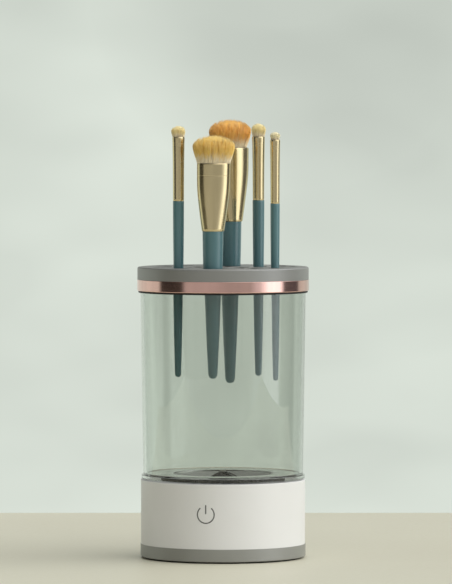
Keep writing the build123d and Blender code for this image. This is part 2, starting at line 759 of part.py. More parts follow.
def write_brushes():
    for brush in BRUSHES:
        x, y = brush["at"]
        place = Pos(x, y, 0) * Rot(0, 0, brush["turn"])
        save(brush["name"] + "_handle", place * brush_handle(brush))
        save(brush["name"] + "_ferrule", place * brush_ferrule(brush))
        save(brush["name"] + "_hair", place * brush_hair(brush))


# ---------------------------------------------------------------- everything
SINGLE_NODES = (
    base_shell, power_icon, bottom_cover, foot_ring, deck_plate, cup_gasket, cover_screws,
    touch_board, touch_electrode, motor_can, motor_magnets, motor_end_cap, motor_shaft,
    motor_armature, driver_coupling, motor_bracket, bracket_screws, motor_screws,
    battery_cell, battery_cradle, main_board, board_screws, usb_c_socket, board_chips,
    board_capacitor, board_connectors, battery_tabs, battery_leads, motor_leads, touch_leads,
    cup, shaft_bush, shaft_seal,
    impeller_shaft, thrust_washer, impeller, impeller_nut, driven_coupling,
    lid_ring, lid_frame, lid_seal, brush_holder,
)


def write_all():
    for make in SINGLE_NODES:
        save(make.__name__, make())
    write_brushes()


write_all()
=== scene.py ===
import json
import math
import random

import bmesh
import bpy
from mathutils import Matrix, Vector
from mathutils.geometry import delaunay_2d_cdt


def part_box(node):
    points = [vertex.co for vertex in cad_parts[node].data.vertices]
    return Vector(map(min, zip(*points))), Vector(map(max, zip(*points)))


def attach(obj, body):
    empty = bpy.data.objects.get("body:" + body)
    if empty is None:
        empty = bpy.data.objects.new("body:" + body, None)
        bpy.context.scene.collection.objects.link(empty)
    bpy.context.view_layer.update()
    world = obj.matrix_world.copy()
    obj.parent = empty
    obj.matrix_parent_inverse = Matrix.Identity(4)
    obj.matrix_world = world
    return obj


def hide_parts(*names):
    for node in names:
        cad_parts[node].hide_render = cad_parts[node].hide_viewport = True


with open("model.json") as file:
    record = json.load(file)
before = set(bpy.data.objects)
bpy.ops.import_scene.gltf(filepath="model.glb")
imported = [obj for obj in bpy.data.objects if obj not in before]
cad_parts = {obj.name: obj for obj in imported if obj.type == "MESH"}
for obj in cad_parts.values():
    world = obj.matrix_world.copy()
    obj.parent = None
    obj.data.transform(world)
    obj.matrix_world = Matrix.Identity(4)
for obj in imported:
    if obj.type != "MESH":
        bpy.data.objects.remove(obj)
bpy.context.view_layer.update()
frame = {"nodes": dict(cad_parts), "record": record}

# Metres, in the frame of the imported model: +Z up, -Y is the front with the power mark.
MM = 0.001
# Degrees that each brush's wide face is turned by, from -Y towards +X.
BRUSH_TURN = {
    "face_brush_front": 12,
    "face_brush_rear": 40,
    "eye_brush_left": 12,
    "eye_brush_right": 12,
    "liner_brush": 12,
}
BRUSHES = tuple(BRUSH_TURN)

# The puck's holes: a ring of eleven, a ring of five and one in the centre. Hole radii are in
# millimetres, and each ring starts at the angle given in degrees.
OUTER_RING_R = 40.0 * MM
INNER_RING_R = 22.0 * MM
OUTER_START = -88
INNER_START = 90
OUTER_HOLE_R = (8.2, 6.5, 6.0, 7.5, 7.0, 7.0, 7.0, 7.0, 7.5, 6.0, 6.5)
INNER_HOLE_R = (8.5, 7.0, 7.5, 7.5, 6.5)
CENTRE_HOLE_R = 7.5
# The opening of the membrane in a hole that holds no brush, by the hole's radius.
FREE_OPENING_R = {6.0: 3.2, 6.5: 3.2, 7.0: 3.6, 7.5: 4.0}
MEMBRANE_TOP = 183.8 * MM
MEMBRANE_BOTTOM = 182.4 * MM
PETAL_SLIT = 0.5 * MM
HANDLE_GAP = 0.3 * MM
# A hole with a radius up to this has a membrane of six petals, a wider one has eight.
SIX_PETALS_UP_TO = 7

# The cup's inside and foot, which its box doesn't give.
CUP_WALL = 2.0 * MM
CUP_FLOOR = 54.0 * MM
CUP_FOOT_TOP = CUP_FLOOR - 0.6 * MM
CUP_UNDER = 53.0 * MM
CUP_FOOT_BOTTOM = 51.0 * MM
CUP_FOOT_IN = 49.0 * MM
CUP_FOOT_R = 52.3 * MM
CUP_BOTTOM_R = 51.2 * MM
WELL_R = 31.8 * MM
WELL_FLOOR = 48.4 * MM
WELL_THICK = 2.2 * MM
BOSS_R = 6.2 * MM
BOSS_TOP = 49.6 * MM
BOSS_BORE = 3.5 * MM

# Camera: 12 degrees to the right of the front, from far away with a long lens.
CAMERA_TURN = math.radians(12)
CAMERA_DISTANCE = 3.36
CAMERA_HEIGHT = 0.290
AIM_HEIGHT = 0.170
AIM_RIGHT = 0.0019
LENS = 323.8
TOWARDS_CAMERA = Vector((math.sin(CAMERA_TURN), -math.cos(CAMERA_TURN), 0))
CAMERA_RIGHT = Vector((math.cos(CAMERA_TURN), math.sin(CAMERA_TURN), 0))
# The middle of the widest leaf shadow on the backdrop, and the cosines where it starts and ends.
DARK_PATCH = (CAMERA_RIGHT * 0.012 - TOWARDS_CAMERA + Vector((0, 0, 0.022))).normalized()
PATCH_EDGES = (math.cos(math.radians(2.2)), math.cos(math.radians(0.5)))


def srgb(r, g, b):
    """A colour given in 0 to 255 display values, as linear RGBA."""
    def linear(v):
        v /= 255
        return v / 12.92 if v <= 0.04045 else ((v + 0.055) / 1.055) ** 2.4
    return (linear(r), linear(g), linear(b), 1.0)


def scaled(colour, factor):
    """A colour made darker or brighter, without its alpha."""
    return tuple(c * factor for c in colour[:3]) + (1.0,)


# ---------------------------------------------------------------- node materials
class Graph:
    """Adds nodes to one node tree and links them in few words."""

    def __init__(self, tree):
        self.tree = tree

    def add(self, kind, **settings):
        node = self.tree.nodes.new(kind)
        for key, value in settings.items():
            setattr(node, key, value)
        return node

    def link(self, output, target):
        self.tree.links.new(output, target)

    def feed(self, socket, value):
        """Links an output to a socket, or sets a plain value on it."""
        if isinstance(value, bpy.types.NodeSocket):
            self.link(value, socket)
        else:
            socket.default_value = value

    def object_space(self, stretch):
        coordinates = self.add("ShaderNodeTexCoord")
        mapping = self.add("ShaderNodeMapping")
        mapping.inputs["Scale"].default_value = stretch
        self.link(coordinates.outputs["Object"], mapping.inputs["Vector"])
        return mapping.outputs["Vector"]

    def noise(self, scale, detail, stretch=(1, 1, 1)):
        """Cloudy noise in the object's space; a low stretch along an axis draws it out into lines."""
        node = self.add("ShaderNodeTexNoise")
        self.link(self.object_space(stretch), node.inputs["Vector"])
        node.inputs["Scale"].default_value = scale
        node.inputs["Detail"].default_value = detail
        node.inputs["Roughness"].default_value = 0.55
        return node.outputs["Fac"]

    def ramp(self, factor, stops, interpolation="LINEAR"):
        """Colours between two or more (place, colour) stops."""
        node = self.add("ShaderNodeValToRGB")
        node.color_ramp.interpolation = interpolation
        elements = node.color_ramp.elements
        for place, _ in stops[2:]:
            elements.new(place)
        for element, (place, colour) in zip(elements, stops):
            element.position = place
            element.color = colour
        self.link(factor, node.inputs["Fac"])
        return node.outputs["Color"]

    def spread(self, factor, low, high, source=(0.3, 0.7)):
        """Takes a source range, which is where most noise lies, to low and high, and holds its ends."""
        node = self.add("ShaderNodeMapRange")
        self.link(factor, node.inputs["Value"])
        for key, value in zip(("From Min", "From Max", "To Min", "To Max"), (*source, low, high)):
            node.inputs[key].default_value = value
        return node.outputs["Result"]

    def bump(self, height, strength, distance):
        node = self.add("ShaderNodeBump")
        node.inputs["Strength"].default_value = strength
        node.inputs["Distance"].default_value = distance
        self.link(height, node.inputs["Height"])
        return node.outputs["Normal"]

    def math(self, operation, a, b, clamp=False):
        node = self.add("ShaderNodeMath", operation=operation, use_clamp=clamp)
        self.feed(node.inputs[0], a)
        self.feed(node.inputs[1], b)
        return node.outputs[0]

    def mix(self, factor, a, b, blend="MIX"):
        """Mixes two colours: a Mix node has them as inputs 6 and 7, and their mix as output 2."""
        node = self.add("ShaderNodeMix", data_type="RGBA", blend_type=blend)
        self.feed(node.inputs[0], factor)
        self.feed(node.inputs[6], a)
        self.feed(node.inputs[7], b)
        return node.outputs[2]

    def along(self, vector, axis):
        """How far a vector goes along a fixed axis."""
        node = self.add("ShaderNodeVectorMath", operation="DOT_PRODUCT")
        self.link(vector, node.inputs[0])
        node.inputs[1].default_value = axis
        return node.outputs["Value"]

    def height(self):
        """How high a point of the object is, in its own frame."""
        coordinates = self.add("ShaderNodeTexCoord")
        split = self.add("ShaderNodeSeparateXYZ")
        self.link(coordinates.outputs["Object"], split.inputs[0])
        return split.outputs["Z"]


def new_material(name):
    """A material with one Principled shader, and the graph that feeds it."""
    material = bpy.data.materials.new(name)
    material.use_nodes = True
    graph = Graph(material.node_tree)
    shader = material.node_tree.nodes["Principled BSDF"]
    return material, graph, shader


def finish(name, colour, other=None, rough=(0.4, 0.5), metallic=0.0, tone_scale=60.0, grain=900.0,
           grain_strength=0.1, grain_depth=0.05 * MM, stretch=(1, 1, 1), **uniform):
    """A material whose tone and gloss wander a little, over a fine surface grain."""
    material, graph, shader = new_material(name)
    other = other or scaled(colour, 0.88)
    tone = graph.noise(tone_scale, 4.0, stretch=stretch)
    graph.link(graph.ramp(tone, [(0.35, other), (0.65, colour)]), shader.inputs["Base Color"])
    fine = graph.noise(grain, 3.0, stretch=stretch)
    graph.link(graph.spread(fine, *rough), shader.inputs["Roughness"])
    graph.link(graph.bump(fine, grain_strength, grain_depth), shader.inputs["Normal"])
    shader.inputs["Metallic"].default_value = metallic
    for socket, value in uniform.items():
        shader.inputs[socket.replace("_", " ")].default_value = value
    return material


def clear_glass():
    """Polished clear acrylic with the faintest green-grey tint and a trace of wipe marks."""
    material, graph, shader = new_material("clear_cup")
    edge = graph.add("ShaderNodeLayerWeight")
    edge.inputs["Blend"].default_value = 0.35
    tint = [(0.0, (0.795, 0.82, 0.785, 1)), (0.42, (0.765, 0.795, 0.76, 1)), (0.6, (0.66, 0.7, 0.66, 1)),
            (0.75, (0.48, 0.53, 0.48, 1)), (1.0, (0.35, 0.4, 0.35, 1))]
    graph.link(graph.ramp(edge.outputs["Facing"], tint), shader.inputs["Base Color"])
    marks = graph.noise(35.0, 3.0, stretch=(1, 1, 0.25))
    graph.link(graph.spread(marks, 0.0, 0.02, (0.55, 0.8)), shader.inputs["Roughness"])
    shader.inputs["Transmission Weight"].default_value = 1.0
    shader.inputs["IOR"].default_value = 1.47
    return material


def rose_gold():
    """Satin rose-gold metal, brushed round its rim."""
    material, graph, shader = new_material("rose_metal")
    tone = graph.noise(9.0, 3.0)
    graph.link(graph.ramp(tone, [(0.35, srgb(227, 185, 175)), (0.65, srgb(233, 194, 184))]),
               shader.inputs["Base Color"])
    lines = graph.noise(60.0, 2.0, stretch=(1, 1, 60))
    graph.link(graph.spread(lines, 0.11, 0.17), shader.inputs["Roughness"])
    graph.link(graph.bump(lines, 0.05, 0.02 * MM), shader.inputs["Normal"])
    shader.inputs["Metallic"].default_value = 1.0
    return material


def champagne_gold():
    """Drawn, satin champagne-gold metal, with faint lengthwise lines."""
    material, graph, shader = new_material("ferrule_gold")
    tone = graph.noise(60.0, 3.0, stretch=(1, 1, 0.2))
    graph.link(graph.ramp(tone, [(0.35, srgb(210, 193, 150)), (0.65, srgb(218, 202, 161))]),
               shader.inputs["Base Color"])
    lines = graph.noise(700.0, 2.0, stretch=(1, 1, 0.03))
    graph.link(graph.spread(lines, 0.18, 0.25), shader.inputs["Roughness"])
    graph.link(graph.bump(lines, 0.04, 0.02 * MM), shader.inputs["Normal"])
    shader.inputs["Metallic"].default_value = 1.0
    return material


def teal_lacquer():
    """Satin teal lacquer on turned wood: a soft clear coat over slightly uneven paint."""
    material, graph, shader = new_material("handle_teal")
    tone = graph.noise(130.0, 4.0, stretch=(1, 1, 0.15))
    graph.link(graph.ramp(tone, [(0.3, srgb(58, 104, 110)), (0.7, srgb(65, 112, 118))]),
               shader.inputs["Base Color"])
    peel = graph.noise(520.0, 2.0)
    graph.link(graph.spread(peel, 0.42, 0.5), shader.inputs["Roughness"])
    graph.link(graph.bump(peel, 0.06, 0.04 * MM), shader.inputs["Normal"])
    shader.inputs["Specular IOR Level"].default_value = 0.8
    shader.inputs["Coat Weight"].default_value = 0.7
    shader.inputs["Coat Roughness"].default_value = 0.26
    return material


def hair_material(name, low, high, root, tip, deep):
    """Two-tone bristles: pale at the root, dyed towards the tip, each strand in its own shade."""
    material, graph, shader = new_material(name)
    share = graph.spread(graph.height(), 0.0, 1.0, (low, high))
    strand = graph.noise(1500.0, 2.0, stretch=(1, 1, 0.05))
    patch = graph.noise(420.0, 2.0, stretch=(1, 1, 0.22))
    uneven = graph.math("ADD", share, graph.math("MULTIPLY", graph.math("SUBTRACT", strand, 0.5), 0.55))
    dyed = graph.ramp(uneven, [(0.06, root), (0.4, tip)], "EASE")
    dark = graph.spread(graph.math("ADD", graph.math("MULTIPLY", strand, 0.5),
                                   graph.math("MULTIPLY", patch, 0.5)), 1.0, 0.0, (0.35, 0.47))
    dark = graph.math("MULTIPLY", dark, graph.math("MULTIPLY", share, 0.8, clamp=True))
    graph.link(graph.mix(dark, dyed, deep), shader.inputs["Base Color"])
    graph.link(graph.spread(strand, 0.45, 0.65), shader.inputs["Roughness"])
    shader.inputs["Specular IOR Level"].default_value = 0.35
    shader.inputs["Sheen Weight"].default_value = 0.25
    return material


def plastic_and_rubber():
    """Finishes of the moulded pieces; the two greys have a strong gloss at grazing angles."""
    grazing = dict(IOR=1.75, Specular_IOR_Level=1.0)
    return {
        "base_white": finish("base_white", srgb(233, 233, 232), srgb(229, 229, 227), (0.34, 0.42),
                             tone_scale=12, grain=1600, grain_strength=0.12, grain_depth=0.03 * MM),
        "base_grey": finish("base_grey", srgb(131, 132, 126), srgb(125, 126, 120), (0.36, 0.44),
                            tone_scale=18, grain=1500, grain_strength=0.15, grain_depth=0.04 * MM,
                            **grazing),
        "icon_grey": finish("icon_grey", srgb(98, 99, 98), srgb(88, 89, 88), (0.5, 0.6)),
        "foot_rubber": finish("foot_rubber", srgb(24, 22, 21), srgb(17, 16, 15), (0.6, 0.75),
                              grain_strength=0.25),
        "deck_charcoal": finish("deck_charcoal", srgb(62, 62, 62), None, (0.45, 0.6)),
        "impeller_black": finish("impeller_black", srgb(24, 24, 24), srgb(17, 17, 17), (0.24, 0.34)),
        "lid_silicone": finish("lid_silicone", srgb(122, 123, 120), srgb(116, 117, 114), (0.38, 0.46),
                               tone_scale=25, grain=1200, grain_strength=0.2, grain_depth=0.05 * MM,
                               **grazing),
        "washer_white": finish("washer_white", (0.8, 0.8, 0.77, 1), None, (0.35, 0.45)),
    }


def drive_and_electrics():
    """Finishes of what the base holds: motor, bearings, board, battery and leads."""
    return {
        "steel": finish("steel", (0.62, 0.62, 0.63, 1), (0.5, 0.5, 0.51, 1), (0.22, 0.34),
                        metallic=1.0, grain=1400.0, stretch=(1, 1, 8)),
        "magnet": finish("magnet", (0.06, 0.06, 0.065, 1), None, (0.5, 0.7), metallic=0.4),
        "copper_winding": finish("copper_winding", (0.78, 0.36, 0.17, 1), (0.55, 0.22, 0.1, 1),
                                 (0.25, 0.4), metallic=1.0, tone_scale=800, stretch=(1, 1, 0.2),
                                 grain_strength=0.6),
        "bush_bronze": finish("bush_bronze", (0.62, 0.42, 0.2, 1), (0.5, 0.33, 0.16, 1), (0.35, 0.5),
                              metallic=1.0),
        "board_green": finish("board_green", (0.02, 0.16, 0.07, 1), (0.012, 0.1, 0.045, 1), (0.25, 0.35)),
        "electrode": finish("electrode", (0.8, 0.42, 0.22, 1), None, (0.3, 0.42), metallic=1.0),
        "capacitor": finish("capacitor", (0.05, 0.06, 0.12, 1), None, (0.3, 0.4)),
        "battery_wrap": finish("battery_wrap", (0.03, 0.16, 0.42, 1), (0.02, 0.12, 0.34, 1), (0.22, 0.32)),
        "lead_red": finish("lead_red", (0.5, 0.03, 0.02, 1), (0.4, 0.02, 0.015, 1), (0.35, 0.5)),
    }


def slot_materials():
    """One finished material for each material slot of the record, but the hair, which has five."""
    return {
        **plastic_and_rubber(),
        **drive_and_electrics(),
        "clear_cup": clear_glass(),
        "rose_metal": rose_gold(),
        "handle_teal": teal_lacquer(),
        "ferrule_gold": champagne_gold(),
    }


# ---------------------------------------------------------------- mesh helpers
def rounded(corners, steps=6):
    """A closed outline of (x, z) points from (x, z, fillet) corners, each rounded by an arc."""
    points = []
    for i, (x, z, fillet) in enumerate(corners):
        corner = Vector((x, z))
        if fillet <= 0:
            points.append(corner)
            continue
        back = Vector(corners[i - 1][:2]) - corner
        ahead = Vector(corners[(i + 1) % len(corners)][:2]) - corner
        half = back.angle(ahead) / 2
        reach = min(fillet / math.tan(half), 0.48 * back.length, 0.48 * ahead.length)
        radius = reach * math.tan(half)
        centre = corner + (back.normalized() + ahead.normalized()).normalized() * (radius / math.sin(half))
        start = corner + back.normalized() * reach - centre
        turn = start.angle_signed(corner + ahead.normalized() * reach - centre)
        for k in range(steps + 1):
            angle = -turn * k / steps
            c, s = math.cos(angle), math.sin(angle)
            points.append(centre + Vector((start.x * c - start.y * s, start.x * s + start.y * c)))
    return [(p.x, p.y) for p in points]


def mesh_piece(name, bm, smooth_angle=35.0):
    """Turns a bmesh into a linked object with smooth faces and sharp edges kept."""
    bmesh.ops.remove_doubles(bm, verts=bm.verts, dist=1e-7)
    bmesh.ops.recalc_face_normals(bm, faces=bm.faces)
    mesh = bpy.data.meshes.new(name)
    bm.to_mesh(mesh)
    bm.free()
    mesh.shade_smooth()
    if smooth_angle:
        mesh.set_sharp_from_angle(angle=math.radians(smooth_angle))
    piece = bpy.data.objects.new(name, mesh)
    bpy.context.scene.collection.objects.link(piece)
    if smooth_angle:
        weighted = piece.modifiers.new("weighted_normals", "WEIGHTED_NORMAL")
        weighted.keep_sharp = True
    return piece


def place(piece, body, slot, material, *nodes):
    """Gives a piece its material and its body, and hides the CAD nodes it stands for; the slot is not
    used.
    """
    piece.data.materials.clear()
    piece.data.materials.append(material)
    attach(piece, body)
    if nodes:
        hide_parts(*nodes)
    return piece


def add_strip(bm, rings, close):
    """Quads between rings of equal length, or triangles to a ring of one; close joins last to first."""
    pairs = list(zip(rings, rings[1:]))
    if close:
        pairs.append((rings[-1], rings[0]))
    for lower, upper in pairs:
        count = max(len(lower), len(upper))
        for i in range(count):
            j = (i + 1) % count
            corners = [
                lower[i % len(lower)], lower[j % len(lower)],
                upper[j % len(upper)], upper[i % len(upper)]]
            corners = list(dict.fromkeys(corners))
            if len(corners) > 2:
                bm.faces.new(corners)


def turned_piece(name, outline, segments, close=True, centre=(0.0, 0.0)):
    """A surface turned about the vertical axis through centre; a point on the axis is a pole."""
    bm = bmesh.new()
    rings = []
    for radius, z in outline:
        if radius < 1e-6:
            rings.append([bm.verts.new((*centre, z))])
            continue
        rings.append([
            bm.verts.new((centre[0] + radius * math.cos(a), centre[1] + radius * math.sin(a), z))
            for a in (math.tau * k / segments for k in range(segments))])
    add_strip(bm, rings, close)
    return mesh_piece(name, bm)


def smooth_step(t):
    t = min(max(t, 0.0), 1.0)
    return t * t * (3 - 2 * t)


def through(knots, t):
    """A smooth curve through (place, value) knots, by cubic Hermite pieces."""
    slopes = []
    for i in range(len(knots)):
        a, b = knots[max(i - 1, 0)], knots[min(i + 1, len(knots) - 1)]
        slopes.append((b[1] - a[1]) / (b[0] - a[0]))
    for i in range(len(knots) - 1):
        (x0, y0), (x1, y1) = knots[i], knots[i + 1]
        if t <= x1 or i == len(knots) - 2:
            h = x1 - x0
            s = min(max((t - x0) / h, 0.0), 1.0)
            return (y0 * (1 + 2 * s) * (1 - s) ** 2 + slopes[i] * h * s * (1 - s) ** 2
                    + y1 * s * s * (3 - 2 * s) + slopes[i + 1] * h * s * s * (s - 1))


# ---------------------------------------------------------------- cup
def build_cup(materials):
    """The clear cup, turned from one outline: boss, well, foot, wall, rim and back down inside."""
    low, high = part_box("cup")
    rim_r, rim = high.x, high.z
    under = WELL_FLOOR - WELL_THICK
    well_out = WELL_R + WELL_THICK
    corners = [
        (BOSS_BORE, low.z, 0.2 * MM), (BOSS_R, low.z, 0.2 * MM), (BOSS_R, under, 0.3 * MM),
        (well_out, under, 0.8 * MM), (well_out, CUP_UNDER, 0.4 * MM),
        (CUP_FOOT_IN, CUP_UNDER, 0.15 * MM), (CUP_FOOT_IN, CUP_FOOT_BOTTOM, 0.25 * MM),
        (CUP_FOOT_R, CUP_FOOT_BOTTOM, 0.3 * MM), (CUP_FOOT_R, CUP_FOOT_TOP, 0.2 * MM),
        (CUP_BOTTOM_R, CUP_FOOT_TOP, 0.1 * MM),
        (rim_r, rim, 0.6 * MM), (rim_r - CUP_WALL, rim, 0.6 * MM),
        (CUP_BOTTOM_R - CUP_WALL, CUP_FLOOR, 0.6 * MM),
        (WELL_R, CUP_FLOOR, 0.9 * MM), (WELL_R, WELL_FLOOR, 1.0 * MM),
        (BOSS_R, WELL_FLOOR, 0.4 * MM), (BOSS_R, BOSS_TOP, 0.2 * MM), (BOSS_BORE, BOSS_TOP, 0.2 * MM),
    ]
    cup = turned_piece("cup_clear", rounded(corners), segments=256)
    # Light scattered by what stands in the cup leaves it unbent, as through thin glass.
    cup.visible_diffuse = False
    return place(cup, "cup", "clear_cup", materials["clear_cup"], "cup")


# ---------------------------------------------------------------- lid
LID_RING_THICK = 1.2 * MM
# How far the puck's plug stays inside the lid frame's outer radius.
PUCK_PLUG_INSET = 4.4 * MM
# How far the slits of a membrane stop short of the hole's wall, and how deep it sits in that wall.
SLIT_END = 0.9 * MM
MEMBRANE_ROOT = 0.35 * MM


def build_lid_ring(materials):
    """The rose-gold band round the lid, with its lower edge rolled in."""
    low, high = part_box("lid_ring")
    outer, inner = high.x, high.x - LID_RING_THICK
    corners = [
        (inner, low.z, 0.1 * MM), (outer, low.z, 0.5 * MM),
        (outer, high.z, 0.2 * MM), (inner, high.z, 0.1 * MM)]
    ring = turned_piece("lid_ring_rose", rounded(corners), segments=256)
    return place(ring, "lid", "rose_metal", materials["rose_metal"], "lid_ring")


def puck_holes():
    """Every hole of the puck as (x, y, radius), with the radius in millimetres."""
    made = [(0.0, 0.0, CENTRE_HOLE_R)]
    rings = ((OUTER_RING_R, OUTER_START, OUTER_HOLE_R), (INNER_RING_R, INNER_START, INNER_HOLE_R))
    for ring_r, start, radii in rings:
        for k, radius in enumerate(radii):
            angle = math.radians(start + 360 / len(radii) * k)
            made.append((ring_r * math.cos(angle), ring_r * math.sin(angle), radius))
    return made


def circle_points(x, y, radius, count):
    turns = [math.tau * k / count for k in range(count)]
    return [Vector((x + radius * math.cos(turn), y + radius * math.sin(turn))) for turn in turns]


def add_circles(bm, x, y, outline, count):
    """A strip round (x, y) from (radius, z) points; returns its first and last loop of vertices."""
    rings = [[bm.verts.new((p.x, p.y, z)) for p in circle_points(x, y, radius, count)]
             for radius, z in outline]
    add_strip(bm, rings, False)
    return rings[0], rings[-1]


def add_cap(bm, loops, outer_r, holes):
    """Fills the flat between the outer loop and the hole loops with triangles, using their vertices."""
    points, edges, source = [], [], []
    for loop in loops:
        first = len(points)
        for i, vert in enumerate(loop):
            points.append(Vector((vert.co.x, vert.co.y)))
            source.append(vert)
            edges.append((first + i, first + (i + 1) % len(loop)))
    flat, _, faces, origins, _, _ = delaunay_2d_cdt(points, edges, [], 0, 1e-9)
    for face in faces:
        middle = sum((flat[i] for i in face), Vector((0, 0))) / len(face)
        if middle.length > outer_r or any((middle - Vector((x, y))).length < r for x, y, r in holes):
            continue
        bm.faces.new([source[origins[i][0]] for i in face])


def build_puck(materials):
    """The silicone disc with its plug below, and a softly rounded lip at every hole."""
    low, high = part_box("brush_holder")
    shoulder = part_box("lid_ring")[1].z
    outer = high.x
    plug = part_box("lid_frame")[1].x - PUCK_PLUG_INSET
    lip = 0.45 * MM
    hole_segments, rim_segments = 72, 256
    holes = [(x, y, r * MM) for x, y, r in puck_holes()]
    bm = bmesh.new()
    loops_top, loops_bottom = [], []
    # Each outline starts and ends on the flat, to round its corners. Those two points are cut off.
    for x, y, r in holes:
        beside = r + 3 * lip
        side = rounded([(beside, high.z, 0), (r, high.z, lip), (r, low.z, lip), (beside, low.z, 0)], 5)
        top_loop, bottom_loop = add_circles(bm, x, y, side[1:-1], hole_segments)
        loops_top.append(top_loop)
        loops_bottom.append(bottom_loop)
    side = rounded([
        (outer - 4 * MM, high.z, 0), (outer, high.z, 1.1 * MM), (outer, shoulder, 0.15 * MM),
        (plug, shoulder, 0.2 * MM), (plug, low.z, 0.4 * MM), (plug - 2 * MM, low.z, 0)], 7)
    top_loop, bottom_loop = add_circles(bm, 0, 0, side[1:-1], rim_segments)
    add_cap(bm, [top_loop] + loops_top, outer, holes)
    add_cap(bm, [bottom_loop] + loops_bottom, plug, holes)
    puck = mesh_piece("brush_puck", bm)
    return place(puck, "lid", "lid_silicone", materials["lid_silicone"], "brush_holder")


def petal_outline(centre, hole_r, opening, open_r, slits):
    """The inside edge of a slit membrane: arcs of the opening, with a slit between every two."""
    points = []
    half = PETAL_SLIT / 2
    reach = hole_r - SLIT_END
    end_steps, arc_steps = 4, 6
    for k in range(slits):
        angle = math.tau / slits * (k + 0.5)
        after = math.tau / slits * (k + 1.5)
        along = Vector((math.cos(angle), math.sin(angle)))
        across = Vector((-along.y, along.x))
        mouth = opening - centre
        start = mouth.dot(along) + math.sqrt(max(open_r ** 2 - (mouth.dot(across)) ** 2, 0))
        points.append(centre + along * start - across * half)
        for j in range(end_steps + 1):
            turn = math.pi * (j / end_steps - 0.5)
            out = reach - half + half * math.cos(turn)
            points.append(centre + along * out + across * half * math.sin(turn))
        points.append(centre + along * start + across * half)
        for j in range(1, arc_steps):
            turn = angle + (after - angle) * j / arc_steps
            points.append(opening + Vector((math.cos(turn), math.sin(turn))) * open_r)
    return points


def membrane_opening(centre, r):
    """Where the membrane of a hole opens and how wide: round a brush's handle, or in its middle."""
    for name in BRUSHES:
        handle = centre_of(name + "_handle").xy
        if (handle - centre).length < r * MM:
            return handle, handle_radius(name, MEMBRANE_TOP) + HANDLE_GAP
    return centre, FREE_OPENING_R[r] * MM


def build_petals(materials):
    """The slit membranes, one in each hole, as one moulded skin with softened edges."""
    curve = bpy.data.curves.new("petals", "CURVE")
    curve.dimensions = "2D"
    curve.fill_mode = "BOTH"
    skin = 0.16 * MM
    curve.extrude = (MEMBRANE_TOP - MEMBRANE_BOTTOM) / 2 - skin
    curve.bevel_depth = skin
    curve.bevel_resolution = 2
    curve.offset = -skin
    for x, y, r in puck_holes():
        centre = Vector((x, y))
        opening, open_r = membrane_opening(centre, r)
        outside = circle_points(x, y, r * MM + MEMBRANE_ROOT, 64)
        inside = petal_outline(centre, r * MM, opening, open_r, 8 if r > SIX_PETALS_UP_TO else 6)
        for outline in (outside, inside):
            spline = curve.splines.new("POLY")
            spline.points.add(len(outline) - 1)
            for point, flat in zip(spline.points, outline):
                point.co = (flat.x, flat.y, 0, 1)
            spline.use_cyclic_u = True
    holder = bpy.data.objects.new("petals_curve", curve)
    bpy.context.scene.collection.objects.link(holder)
    holder.location.z = (MEMBRANE_TOP + MEMBRANE_BOTTOM) / 2
    bpy.context.view_layer.update()
    evaluated = holder.evaluated_get(bpy.context.evaluated_depsgraph_get())
    mesh = bpy.data.meshes.new_from_object(evaluated)
    mesh.transform(holder.matrix_world)
    bpy.data.objects.remove(holder)
    bm = bmesh.new()
    bm.from_mesh(mesh)
    bpy.data.meshes.remove(mesh)
    petals = mesh_piece("brush_petals", bm)
    return place(petals, "lid", "lid_silicone", materials["lid_silicone"])


# ---------------------------------------------------------------- brushes
# Handle shapes: (share of length from the tip, share of the top radius).
THICK_HANDLE = ((0, 0.415), (0.27, 0.605), (0.56, 0.77), (0.74, 0.92), (0.87, 0.97), (1, 1.0))
SLIM_HANDLE = ((0, 0.53), (0.22, 0.715), (0.49, 0.85), (0.66, 0.91), (0.84, 0.97), (1, 1.0))
# A handle's rounded end: its depth as a share of the tip radius, and its width just before the side.
END_DEPTH = 0.85
END_WIDTH = 0.97

# Ferrule shapes: (share of height, share of top half width, share of greatest half depth).
FACE_FERRULE = ((0, 0.635, 0.935), (0.3, 0.81, 0.965), (0.62, 0.965, 1.0), (1, 1.0, 0.975))
FRONT_FERRULE = ((0, 0.635, 0.935), (0.3, 0.79, 0.965), (0.62, 0.92, 1.0), (1, 0.95, 0.975))
SLIM_FERRULE = ((0, 0.89, 0.93), (0.52, 0.92, 0.97), (0.8, 0.96, 1.0), (1, 1.0, 0.95))
FERRULES = {"face_brush_front": FRONT_FERRULE, "face_brush_rear": FACE_FERRULE}
FERRULE_WALL = 0.5 * MM
GROOVE_HALF = 0.35 * MM
# How far to the right the top of a brush's metal, and its hair, stand off the handle's axis.
LEAN = {"face_brush_front": 0.5 * MM}

# Head shapes: (share of height, share of the head's greatest width).
FACE_HEAD = ((0, 0.745), (0.3, 0.9), (0.62, 1.0), (0.86, 0.93), (1, 0.8))
SLIM_HEAD = ((0, 0.79), (0.3, 0.94), (0.6, 1.0), (0.85, 0.9), (1, 0.75))
# The solid heart of a head: its width as a share of the head's, and the height where it closes.
HEART_WIDTH = 0.84
HEART_TOP = 0.93
HEART_START = -0.08
HEART_LEVELS = 12
HEART_POWER = 2.1
HEART_SIDES = 48
# Strands: most stand in the outer part of the head, where they are seen, and all lean into clumps.
STRANDS_PER_CLUMP = 22
FEWEST_CLUMPS = 12
CLUMP_PULL = (0.1, 0.4)
OUTER_STRANDS = 0.62
OUTER_DEPTH = 0.3
CORE_REACH = 0.9
# Strands start inside the ferrule and end under a dome, the longest just short of the head's box.
STRAND_START = 0.06
STRAND_STEPS = 5
LONGEST = 0.985
SHORTER_BY = 0.05
DOME_POWER = 2.7
# A strand loses this share of its radius towards its tip, and radii differ within these factors.
STRAND_TAPER = 0.55
STRAND_RADII = (0.8, 1.15)
FIRST_SEED = 7


def is_face(name):
    return name.startswith("face")


